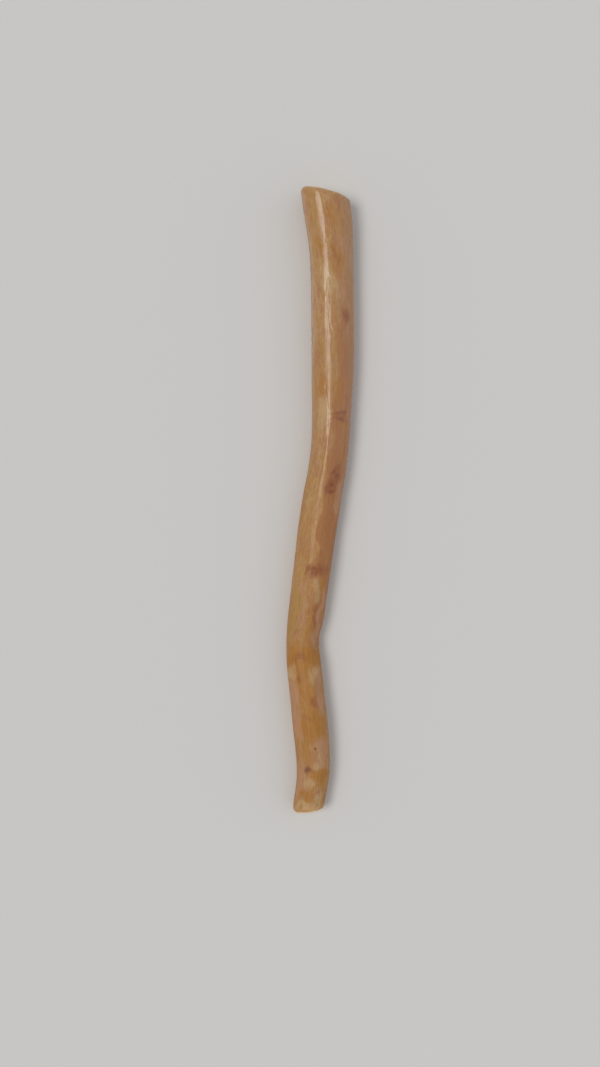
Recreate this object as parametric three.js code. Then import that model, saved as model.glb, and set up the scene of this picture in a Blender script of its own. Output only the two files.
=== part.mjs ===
// A miswak stick: one cut length of root with its bark on, lying on its side on a flat surface.
// Units are millimetres. +Y runs along the stick to its thick end, +X is to the right, +Z is up,
// and the stick touches the surface at z = 0. It grew as one piece, so it is one closed solid.
// The origin lies under the middle of the box that the stick fills.
import * as THREE from "three";

// Where the two cut ends meet the stick's middle line.
const THICK_END_Y = 84;
const THIN_END_Y = -85;

// How far each cut leans: the rise in Y for each millimetre to the right. The lean fades out
// over the last stretch of the stick.
const THICK_CUT_LEAN = -0.2;
const THIN_CUT_LEAN = 0.09;
const LEAN_FADE = 16;

// Each cut edge is worn round by this much.
const THICK_EDGE_ROUNDING = 1.1;
const THIN_EDGE_ROUNDING = 1.6;

// The stick as seen from above, from its thin end to its thick end: the middle line's place in X,
// the width across, and the height of the top above the surface.
const STATIONS = [
  { y: -88.0, middle: -3.7, width: 8.4, height: 8.3 },
  { y: -81.7, middle: -2.9, width: 8.6, height: 8.5 },
  { y: -76.2, middle: -2.05, width: 8.8, height: 8.8 },
  { y: -70.8, middle: -1.95, width: 9.2, height: 9.1 },
  { y: -62.0, middle: -2.65, width: 9.65, height: 9.4 },
  { y: -52.0, middle: -3.7, width: 9.5, height: 9.3 },
  { y: -45.0, middle: -4.45, width: 9.45, height: 9.2 },
  { y: -41.0, middle: -4.75, width: 9.1, height: 9.0 },
  { y: -37.5, middle: -4.75, width: 8.95, height: 9.0 },
  { y: -33.0, middle: -4.1, width: 9.75, height: 9.4 },
  { y: -26.0, middle: -3.2, width: 10.05, height: 9.8 },
  { y: -16.7, middle: -2.0, width: 10.3, height: 10.0 },
  { y: -8.0, middle: -0.85, width: 10.6, height: 10.2 },
  { y: 1.0, middle: 0.5, width: 10.65, height: 10.4 },
  { y: 8.0, middle: 1.8, width: 10.5, height: 10.4 },
  { y: 16.7, middle: 2.8, width: 10.45, height: 10.5 },
  { y: 25.0, middle: 3.15, width: 10.85, height: 10.8 },
  { y: 34.0, middle: 3.38, width: 11.5, height: 11.2 },
  { y: 50.0, middle: 3.4, width: 11.75, height: 11.5 },
  { y: 62.0, middle: 3.25, width: 11.75, height: 11.6 },
  { y: 69.0, middle: 3.0, width: 12.05, height: 11.8 },
  { y: 76.0, middle: 2.35, width: 12.9, height: 12.2 },
  { y: 82.0, middle: 1.55, width: 13.15, height: 12.5 },
  { y: 88.0, middle: 0.7, width: 13.2, height: 12.6 },
];

// The root isn't quite round: each wave gives it a few soft sides, which wind slowly along it.
// The size is a share of the radius, and the turn is in degrees for each millimetre of length.
const SIDE_WAVES = [
  { sides: 2, size: 0.02, start: 20, turn: 0.9 },
  { sides: 3, size: 0.024, start: 75, turn: -0.55 },
  { sides: 5, size: 0.013, start: 10, turn: 0.7 },
  { sides: 7, size: 0.008, start: 140, turn: -1.3 },
];

// Swellings (raised) and hollows (sunk) of the bark. The angle goes round from the right side,
// 0 degrees, over the top, 90, to the left side, 180. Raise, length and breadth are millimetres.
const BARK_FORMS = [
  { name: "long ridge over the middle bend", y: 12, angle: 98, raise: 0.36, length: 22, breadth: 1.5 },
  { name: "flat flank right of the ridge", y: 10, angle: 52, raise: -0.18, length: 19, breadth: 2.2 },
  { name: "old rootlet node", y: 24.3, angle: 66, raise: 0.22, length: 2.2, breadth: 2.6 },
  { name: "pair of small hollows", y: 4.4, angle: 68, raise: -0.18, length: 2.0, breadth: 1.3 },
  { name: "low collar", y: -19, angle: 86, raise: 0.18, length: 1.8, breadth: 3.6 },
  { name: "pinch at the waist", y: -38.2, angle: 22, raise: -0.45, length: 2.9, breadth: 2.2 },
  { name: "shoulder below the waist", y: -45.5, angle: 24, raise: 0.36, length: 3.2, breadth: 2.4 },
  { name: "swelling across the waist", y: -42.5, angle: 120, raise: 0.18, length: 2.8, breadth: 3.6 },
  { name: "soft dent", y: -55, angle: 95, raise: -0.14, length: 4.0, breadth: 2.2 },
  { name: "knot pit", y: -73.2, angle: 111, raise: -0.28, length: 1.5, breadth: 1.1 },
  { name: "lip of the knot pit", y: -70.4, angle: 106, raise: 0.15, length: 1.6, breadth: 1.6 },
  { name: "furrow at the thick end", y: 72, angle: 78, raise: -0.26, length: 10, breadth: 1.2 },
  { name: "left shoulder at the thick end", y: 76, angle: 150, raise: 0.22, length: 8, breadth: 2.1 },
  { name: "side rootlet scar, left", y: 45, angle: 192, raise: 0.45, length: 2.1, breadth: 1.9 },
  { name: "side rootlet scar, right", y: -9, angle: 338, raise: 0.42, length: 2.0, breadth: 1.7 },
  { name: "furrow on the left flank", y: -60, angle: 205, raise: -0.26, length: 10, breadth: 1.0 },
  { name: "furrow on the right flank", y: 52, angle: 346, raise: -0.28, length: 13, breadth: 1.0 },
];

// The underside is pressed level where the stick touches the surface, and clear of it between.
// A resting place is level wherever its hill is higher than the last value.
const REST_PRESS = 0.22;
const REST_LIFT = 0.25;
const REST_PLACES = [
  { y: 46, reach: 22 },
  { y: -36, reach: 12.5 },
  { y: -74, reach: 8 },
];
const FULL_REST = 0.7;

// The net of faces: points round the stick, bands along it, and bands over each worn cut edge.
const POINTS_ROUND = 40;
const BANDS_ALONG = 96;
const BANDS_OVER_EDGE = 4;

// The cut faces: how far out each ring of points lies, and how far the wood is dished in.
const CUT_RINGS = [0.68, 0.34];
const CUT_DISH = 0.12;

const BARK_COLOUR = 0xa9814f;
const BARK_ROUGHNESS = 0.55;

const radians = THREE.MathUtils.degToRad;
const smoothstep = THREE.MathUtils.smoothstep;

// A smooth curve through the stations gives the middle, width and height at any place.
const stationCurve = new THREE.CubicInterpolant(
  STATIONS.map((station) => station.y),
  STATIONS.flatMap((station) => [station.middle, station.width, station.height]),
  3,
);

function sizeAt(y) {
  const [middle, width, height] = stationCurve.evaluate(y);
  return { middle, width, height, radius: (width + height) / 4 };
}

// A smooth hill: 1 in its middle, and almost nothing at twice its reach.
function hill(distance, reach) {
  return Math.exp(-((distance / reach) ** 2));
}

// The shortest way round from one angle to another, in degrees.
function turnBetween(from, to) {
  return THREE.MathUtils.euclideanModulo(to - from + 180, 360) - 180;
}

// The radius of a section at one angle, as a share of the stick's own radius.
function roundness(y, angle) {
  const waves = SIDE_WAVES.map(
    (wave) => wave.size * Math.cos(radians(wave.sides * angle + wave.start + wave.turn * y)),
  );
  return waves.reduce((sum, wave) => sum + wave, 1);
}

// How far the bark stands proud here, or is sunk if less than nothing.
function barkRaise(y, angle, radius) {
  let raise = 0;
  for (const form of BARK_FORMS) {
    const across = radians(turnBetween(form.angle, angle)) * radius;
    raise += form.raise * hill(y - form.y, form.length) * hill(across, form.breadth);
  }
  return raise;
}

// A point of a section about its own middle, before it is fitted to the stick's width and height.
function freePoint(y, angle, radius) {
  const reach = radius * roundness(y, angle) + barkRaise(y, angle, radius);
  return new THREE.Vector2(reach * Math.cos(radians(angle)), reach * Math.sin(radians(angle)));
}

function freeSection(y, radius) {
  const turns = Array.from({ length: POINTS_ROUND }, (_, step) => (360 * step) / POINTS_ROUND);
  return new THREE.Box2().setFromPoints(turns.map((angle) => freePoint(y, angle, radius)));
}

// The height of the stick's lowest line: below zero where it is pressed on the surface.
function lowestLine(y) {
  const contact = Math.max(...REST_PLACES.map((place) => hill(y - place.y, place.reach)));
  return REST_LIFT - (REST_LIFT + REST_PRESS) * smoothstep(contact, 0, FULL_REST);
}

// A point of the bark as seen along the stick: X across and Y up.
function fittedPoint(y, angle) {
  const { middle, width, height, radius } = sizeAt(y);
  const outline = freeSection(y, radius);
  const share = freePoint(y, angle, radius).sub(outline.min).divide(outline.getSize(new THREE.Vector2()));
  const lowest = lowestLine(y);
  return new THREE.Vector2(middle + (share.x - 0.5) * width, lowest + share.y * (height - lowest));
}

// The lean of a band: none along the stick, and that of the cut at each end.
function leanAt(y) {
  const towardsThick = smoothstep(y, THICK_END_Y - LEAN_FADE, THICK_END_Y);
  const towardsThin = 1 - smoothstep(y, THIN_END_Y, THIN_END_Y + LEAN_FADE);
  return THICK_CUT_LEAN * towardsThick + THIN_CUT_LEAN * towardsThin;
}

// One point of a band. "drawnIn" is how far it lies in from the bark, over a worn edge.
function barkPoint(band, angle) {
  const { middle, height } = sizeAt(band.y);
  const y = band.y + leanAt(band.y) * (fittedPoint(band.y, angle).x - middle);
  const point = fittedPoint(y, angle);
  const inward = new THREE.Vector2(middle, height / 2).sub(point).setLength(band.drawnIn);
  point.add(inward);
  return new THREE.Vector3(point.x, y, Math.max(point.y, 0));
}

// The bands over one worn edge, from the cut face to the bark. "into" is 1 or -1, along the stick.
function edgeBands(endY, into, rounding) {
  return Array.from({ length: BANDS_OVER_EDGE }, (_, step) => {
    const turn = radians((90 * step) / BANDS_OVER_EDGE);
    return {
      y: endY + into * rounding * (1 - Math.cos(turn)),
      drawnIn: rounding * (1 - Math.sin(turn)),
    };
  });
}

function allBands() {
  const first = THIN_END_Y + THIN_EDGE_ROUNDING;
  const last = THICK_END_Y - THICK_EDGE_ROUNDING;
  const along = Array.from({ length: BANDS_ALONG + 1 }, (_, step) => ({
    y: THREE.MathUtils.lerp(first, last, step / BANDS_ALONG),
    drawnIn: 0,
  }));
  const thinEdge = edgeBands(THIN_END_Y, 1, THIN_EDGE_ROUNDING);
  const thickEdge = edgeBands(THICK_END_Y, -1, THICK_EDGE_ROUNDING).reverse();
  return [...thinEdge, ...along, ...thickEdge];
}

function bandRing(band) {
  return Array.from({ length: POINTS_ROUND }, (_, step) => barkPoint(band, (360 * step) / POINTS_ROUND));
}

// A cut face inside its edge: rings towards the middle, then the middle point itself.
function cutFace(edge, into) {
  const centre = new THREE.Vector3();
  edge.forEach((point) => centre.addScaledVector(point, 1 / POINTS_ROUND));
  const dished = (share) => new THREE.Vector3(0, into * CUT_DISH * (1 - share ** 2), 0);
  const rings = CUT_RINGS.map((share) =>
    edge.map((point) => centre.clone().lerp(point, share).add(dished(share))),
  );
  return { rings, middle: centre.add(dished(0)) };
}

// The whole skin: the middle of one cut, all the rings along the stick, the middle of the other.
function stickGeometry() {
  const bark = allBands().map(bandRing);
  const thinCut = cutFace(bark[0], 1);
  const thickCut = cutFace(bark[bark.length - 1], -1);
  const rings = [...thinCut.rings.reverse(), ...bark, ...thickCut.rings];
  const points = [thinCut.middle, ...rings.flat(), thickCut.middle];

  const at = (ring, step) => 1 + ring * POINTS_ROUND + (step % POINTS_ROUND);
  const lastRing = rings.length - 1;
  const faces = [];
  for (let step = 0; step < POINTS_ROUND; step += 1) {
    faces.push([0, at(0, step), at(0, step + 1)]);
    for (let ring = 0; ring < lastRing; ring += 1) {
      const [a, b] = [at(ring, step), at(ring, step + 1)];
      const [c, d] = [at(ring + 1, step + 1), at(ring + 1, step)];
      faces.push([a, d, c], [a, c, b]);
    }
    faces.push([points.length - 1, at(lastRing, step + 1), at(lastRing, step)]);
  }

  const geometry = new THREE.BufferGeometry().setFromPoints(points);
  geometry.setIndex(faces.flat());
  geometry.computeVertexNormals();
  return geometry;
}

// The stick's place: the middle of the box that it fills stands over the origin.
function placeOverOrigin(mesh) {
  const middle = new THREE.Box3().setFromObject(mesh).getCenter(new THREE.Vector3());
  mesh.position.set(-middle.x, -middle.y, 0);
}

const bark = new THREE.MeshStandardMaterial({
  color: BARK_COLOUR,
  roughness: BARK_ROUGHNESS,
  metalness: 0,
});
const stick = new THREE.Mesh(stickGeometry(), bark);
stick.name = "miswak_stick";
placeOverOrigin(stick);

const part = new THREE.Group();
part.add(stick);

export default part;
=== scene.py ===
# %% [markdown]
# # A miswak stick
#
# A miswak is a cut length of root that serves as a tooth brush. It grew as one piece: a thin,
# smooth bark over pale, fibrous wood. It lies on its side, and its thick end points away from us,
# along +Y.
#
# Its solid already has the true bends, swellings and cut ends. This lesson lays a fine skin over
# it, shapes the bark's small forms in the skin, and paints them with materials made of nodes.

# %% Open the solid
from collections import namedtuple

import bmesh
import bpy
import numpy as np
from mathutils import Color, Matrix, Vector
from mathutils.bvhtree import BVHTree


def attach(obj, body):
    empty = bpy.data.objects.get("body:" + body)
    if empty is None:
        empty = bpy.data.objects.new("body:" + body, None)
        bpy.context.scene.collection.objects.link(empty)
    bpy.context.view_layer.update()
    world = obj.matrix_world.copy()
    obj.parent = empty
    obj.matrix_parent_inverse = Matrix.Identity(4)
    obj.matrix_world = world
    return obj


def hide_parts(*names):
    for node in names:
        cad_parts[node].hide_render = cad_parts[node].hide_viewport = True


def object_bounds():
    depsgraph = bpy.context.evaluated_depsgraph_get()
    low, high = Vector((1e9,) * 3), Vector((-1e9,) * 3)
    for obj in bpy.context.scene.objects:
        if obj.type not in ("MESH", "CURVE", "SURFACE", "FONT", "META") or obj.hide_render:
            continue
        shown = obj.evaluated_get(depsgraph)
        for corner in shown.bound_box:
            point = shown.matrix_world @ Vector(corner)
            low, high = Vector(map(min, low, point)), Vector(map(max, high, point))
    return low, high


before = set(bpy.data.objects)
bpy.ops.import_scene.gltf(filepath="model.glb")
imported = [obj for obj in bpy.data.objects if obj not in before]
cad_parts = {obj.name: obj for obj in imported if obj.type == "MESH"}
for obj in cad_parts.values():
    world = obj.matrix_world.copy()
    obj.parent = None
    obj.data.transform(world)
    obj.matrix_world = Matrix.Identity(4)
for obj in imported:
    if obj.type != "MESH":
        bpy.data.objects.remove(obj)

STICK = "miswak_stick"
BODY = "root"
MM = 0.001

solid_low, solid_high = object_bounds()
print("the solid fills", [round(side / MM, 1) for side in solid_high - solid_low], "mm")

# %% [markdown]
# ## Camera
#
# The stick is seen from straight above. For the same view the camera needs three things: how many
# millimetres a pixel covers, which pixel lies over the stick's origin, and how far away it stands.
# The lens follows from that distance and the picture's height.

# %% Place the camera
PHOTO_SIZE = np.array([600, 1067])
ORIGIN_PIXEL = np.array([320.25, 501])
MM_PER_PIXEL = 0.2733
CAMERA_HEIGHT = 445.0
STICK_MIDDLE_HEIGHT = 5.5
SENSOR_LONG_SIDE = 36.0


def add_object(name, data):
    """A new object in the scene, with this data."""
    new = bpy.data.objects.new(name, data)
    bpy.context.scene.collection.objects.link(new)
    return new


def add_camera():
    """A camera straight above the photo's middle, with its top towards +Y."""
    data = bpy.data.cameras.new("camera_above")
    distance = CAMERA_HEIGHT - STICK_MIDDLE_HEIGHT
    data.sensor_width = SENSOR_LONG_SIDE
    data.lens = SENSOR_LONG_SIDE * distance / (PHOTO_SIZE[1] * MM_PER_PIXEL)
    camera = add_object("camera_above", data)
    across, down = (PHOTO_SIZE / 2 - ORIGIN_PIXEL) * MM_PER_PIXEL
    camera.location = Vector((across, -down, CAMERA_HEIGHT)) * MM
    return camera


bpy.context.scene.camera = add_camera()
print("lens", round(bpy.context.scene.camera.data.lens, 1), "mm")

# %% [markdown]
# ## Measuring the solid
#
# A fine skin needs a grid that follows the stick, with rings across it and lines along it. So the
# first step finds the stick's middle line and its two flat cuts, in a copy of the solid with the
# loose triangles joined. Four rays that hit a flat cut give its place and its lean.

# %% Find the middle line
MIDDLE_STEP = 2.0
MIDDLE_REACH = 1.6
JOIN_REACH = 0.001


def middle_line(corners):
    """Places along Y, and the stick's middle in X and Z at each, in metres."""
    low, high = corners[:, 1].min(), corners[:, 1].max()
    places = np.arange(low + MIDDLE_STEP * MM, high - MIDDLE_STEP * MM, MIDDLE_STEP * MM)
    middles = []
    for y in places:
        near = corners[np.abs(corners[:, 1] - y) < MIDDLE_REACH * MM]
        middles.append((near.min(0) + near.max(0))[[0, 2]] / 2)
    return places, np.array(middles)


solid = bmesh.new()
solid.from_mesh(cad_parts[STICK].data)
bmesh.ops.remove_doubles(solid, verts=solid.verts, dist=JOIN_REACH * MM)
line_y, line_xz = middle_line(np.array([corner.co for corner in solid.verts]))
print("the middle line has", len(line_y), "places")

# %% Find the two cuts
CUT_PROBE = 2.6 * MM
FAR_AWAY = 30 * MM

Cut = namedtuple("Cut", "y lean_x lean_z")


def find_cut(tree, x, z, way):
    """The flat cut at the end towards way, 1 or -1, along Y."""
    def face_at(dx, dz):
        start = Vector((x + dx, way * (solid_high.y + FAR_AWAY), z + dz))
        return tree.ray_cast(start, Vector((0, -way, 0)))[0].y

    left, right = face_at(-CUT_PROBE, 0), face_at(CUT_PROBE, 0)
    below, above = face_at(0, -CUT_PROBE), face_at(0, CUT_PROBE)
    lean_x = (right - left) / (2 * CUT_PROBE)
    lean_z = (above - below) / (2 * CUT_PROBE)
    return Cut((left + right + below + above) / 4, lean_x, lean_z)


solid_tree = BVHTree.FromBMesh(solid)
thin_cut = find_cut(solid_tree, *line_xz[0], -1)
thick_cut = find_cut(solid_tree, *line_xz[-1], 1)
print("cuts at", round(thin_cut.y / MM, 1), "and", round(thick_cut.y / MM, 1), "mm")

# %% [markdown]
# ## The fine skin
#
# A Subdivision Surface would leave the points wherever the solid's triangles fell. Rings of evenly
# spaced points are better: the grain runs along the stick, and marks are easy to place by "how far
# along" and "how far round". Each point is where a ray shot at the middle line meets the solid.
# Near the ends the rays lean with the cuts.
#
# A light blur of the distances rounds off the solid's facets. Close to the cuts it only goes round
# the stick, so the worn edges keep their shape.

# %% Place the rings
POINTS_ROUND = 150
RING_STEP = 0.3
EDGE_REACH = 2.0
EDGE_RINGS = 9
FIRST_RING = 0.02


def ring_places(length):
    """Distances from the thin cut, close together over the worn edges."""
    quarter = np.linspace(0, np.pi / 2, EDGE_RINGS, endpoint=False)
    edge = FIRST_RING + (EDGE_REACH - FIRST_RING) * (1 - np.cos(quarter))
    middle = np.arange(EDGE_REACH, length - EDGE_REACH, RING_STEP)
    return np.concatenate([edge, middle, length - edge[::-1]])


stick_length = (thick_cut.y - thin_cut.y) / MM
skin_along = ring_places(stick_length)
skin_angles = np.arange(POINTS_ROUND) * 2 * np.pi / POINTS_ROUND
print("rings", len(skin_along), "of", POINTS_ROUND, "points")

# %% Aim the rays
LEAN_FADE = 16.0


def smooth(share):
    """A straight rise from 0 to 1 made soft at both ends."""
    share = np.clip(share, 0, 1)
    return share * share * (3 - 2 * share)


def fade(distance, reach):
    """1 at no distance and 0 past the reach, with a smooth slope."""
    return smooth(1 - distance / reach)


def ray_ways():
    """The way from the middle line to each skin point, as a grid of rings."""
    near_thin = fade(skin_along, LEAN_FADE)
    near_thick = fade(stick_length - skin_along, LEAN_FADE)
    lean_x = near_thin * thin_cut.lean_x + near_thick * thick_cut.lean_x
    lean_z = near_thin * thin_cut.lean_z + near_thick * thick_cut.lean_z
    out_x, out_z = np.cos(skin_angles), np.sin(skin_angles)
    out_y = lean_x[:, None] * out_x + lean_z[:, None] * out_z
    return np.stack(np.broadcast_arrays(out_x, out_y, out_z), 2)


skin_ways = ray_ways()
print("rays lean up to", round(np.degrees(np.arctan(skin_ways[:, :, 1].max()))), "degrees")

# %% Shoot the rays and blur the distances
BLUR_ROUND = 1.8
BLUR_ALONG = 3.0
BLUR_KEEP = 2.5
BLUR_TAIL = 3


def blur(values, width, axis, wrap):
    """A Gaussian blur along one axis of a grid, which wrap joins end to end."""
    tail = int(np.ceil(BLUR_TAIL * width))
    weights = np.exp(-0.5 * (np.arange(-tail, tail + 1) / width) ** 2)
    weights /= weights.sum()
    pads = [(0, 0)] * values.ndim
    pads[axis] = (tail, tail)
    padded = np.pad(values, pads, mode="wrap" if wrap else "edge")
    size = values.shape[axis]
    parts = [w * np.take(padded, range(k, k + size), axis) for k, w in enumerate(weights)]
    return np.sum(parts, axis=0)


def reach_of_solid(tree, middle):
    """How far out the solid lies from the middle line, at each ray."""
    reach = np.zeros(skin_ways.shape[:2])
    for ring, ring_ways in enumerate(skin_ways):
        centre = Vector(middle[ring])
        for step, way in enumerate(ring_ways):
            outside = centre + Vector(way) * FAR_AWAY
            hit = tree.ray_cast(outside, centre - outside)[0]
            reach[ring, step] = (hit - centre).length / Vector(way).length
    return reach


def lay_skin(tree):
    """The skin's points, and how far out each of them lies, as grids of rings."""
    y = thin_cut.y + skin_along * MM
    x, z = (np.interp(y, line_y, line) for line in line_xz.T)
    middle = np.stack([x, y, z], 1)
    blurred_round = blur(reach_of_solid(tree, middle), BLUR_ROUND, 1, True)
    blurred_both = blur(blurred_round, BLUR_ALONG, 0, False)
    from_cut = np.minimum(skin_along, stick_length - skin_along)
    keep = fade(from_cut - BLUR_KEEP, BLUR_KEEP)[:, None]
    reach = keep * blurred_round + (1 - keep) * blurred_both
    points = middle[:, None, :] + skin_ways * reach[:, :, None]
    points[:, :, 2] = np.maximum(points[:, :, 2], 0)
    return points, reach


skin_points, skin_reach = lay_skin(solid_tree)
radii = skin_reach.min() / MM, skin_reach.max() / MM
print("the skin's radius is from", round(radii[0], 1), "to", round(radii[1], 1), "mm")

# %% [markdown]
# ## Small forms of the bark
#
# Where a rootlet was cut off or died there is a scar: a low swelling with a pit in its middle.
# Round it the bark has drawn up into short creases across the stick. They are few, so they are
# listed one by one, each with its distance along the stick in millimetres and its angle round it: 0
# degrees is the right side, 90 the top, 180 the left.
#
# Nothing that grew has a ruled edge. So every point is shifted a little, by soft random amounts,
# before a distance is measured. Round forms come out uneven, and straight ones wander.

# %% Measure distances unevenly
WANDER_SEED = 21
WANDER_WIDTH = 1.5
WANDER_ALONG = 0.7
WANDER_ACROSS = 0.6
STEP_ROUND = 0.24


def wander(random, reach):
    """Soft random shifts for the skin's points, mostly within twice the reach."""
    values = random.standard_normal(skin_reach.shape)
    values = blur(values, WANDER_WIDTH / STEP_ROUND, 1, True)
    values = blur(values, WANDER_WIDTH / RING_STEP, 0, False)
    return reach * values / values.std()


random = np.random.default_rng(WANDER_SEED)
shift_along = wander(random, WANDER_ALONG)
shift_across = wander(random, WANDER_ACROSS)


def distance_to(y, angle, uneven):
    """How far each skin point is from a place, in millimetres along and round the stick."""
    along = (skin_points[:, :, 1] / MM) - y
    turn = np.degrees(skin_angles) - angle
    turn = (turn + 180) % 360 - 180
    across = np.radians(turn)[None, :] * skin_reach.mean(1)[:, None] / MM
    return along + uneven * shift_along, across + uneven * shift_across


print("points are shifted up to", round(np.abs(shift_along).max(), 1), "mm along the stick")

# %% Raise the scars and press in the creases
# Each scar: distance along, angle round, radius, height of the swelling, depth of the pit.
SCARS = [
    (-72.8, 112, 1.3, 0.06, 0.12), (-67.8, 81, 0.5, 0.05, 0.12),
    (4, 70, 1, 0.07, 0.13), (8.4, 64, 1.2, 0.06, 0.12),
    (50.2, 52, 1.1, 0.07, 0.14), (39.8, 168, 0.8, 0.08, 0.14),
    (45, 192, 1.5, 0.06, 0.3), (-9, 338, 1.4, 0.06, 0.28),
    (-58, 214, 1.2, 0.16, 0.2), (71, 238, 1.5, 0.2, 0.25),
    (17, 303, 1.3, 0.18, 0.22), (-27, 252, 1.1, 0.14, 0.2),
    (-44, 318, 0.9, 0.12, 0.16), (60, 322, 1, 0.12, 0.18),
    (27, 222, 0.9, 0.1, 0.16),
]
# Each crease: distance along, angle round, reach across, width, depth.
CREASES = [
    (24, 64, 2.8, 0.26, 0.06), (22, 60, 1.9, 0.3, 0.06),
    (8.8, 62, 1.5, 0.26, 0.1), (5.6, 58, 1.5, 0.26, 0.1),
    (2.5, 65, 1.6, 0.28, 0.12), (-17, 58, 2.6, 0.45, 0.06),
    (-18.3, 72, 3.4, 0.6, 0.09), (-19.8, 60, 2.6, 0.4, 0.05),
    (-39.6, 14, 2.2, 0.5, 0.06), (-41.2, 24, 2, 0.4, 0.04),
    (-43.8, 105, 3.2, 0.5, 0.04), (-44.6, 150, 2.4, 0.45, 0.04),
    (-49.2, 112, 1.8, 0.4, 0.04), (-73.9, 104, 1.6, 0.3, 0.06),
    (50.8, 46, 1.8, 0.28, 0.08), (68, 250, 2.4, 0.3, 0.1),
    (14.4, 310, 2.2, 0.3, 0.1), (-29, 262, 2.6, 0.3, 0.1),
    (-56.4, 222, 2, 0.3, 0.08),
]
PIT_SHARE = 0.45
CREASE_UNEVEN = 0.5


def scar_heights():
    """The height of the scars and creases, in millimetres."""
    height = np.zeros(skin_reach.shape)
    for y, angle, radius, swell, pit in SCARS:
        along, across = distance_to(y, angle, min(1.0, radius / 2))
        squared = (along ** 2 + across ** 2) / radius ** 2
        height += swell * np.exp(-squared) - pit * np.exp(-squared / PIT_SHARE ** 2)
    for y, angle, reach, width, depth in CREASES:
        along, across = distance_to(y, angle, CREASE_UNEVEN)
        from_middle = np.exp(-((across / reach) ** 4))
        height -= depth * from_middle * np.exp(-((along / width) ** 2))
    return height


scar_height = scar_heights()
print("scars and creases go down to", round(scar_height.min(), 2), "mm")
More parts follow.
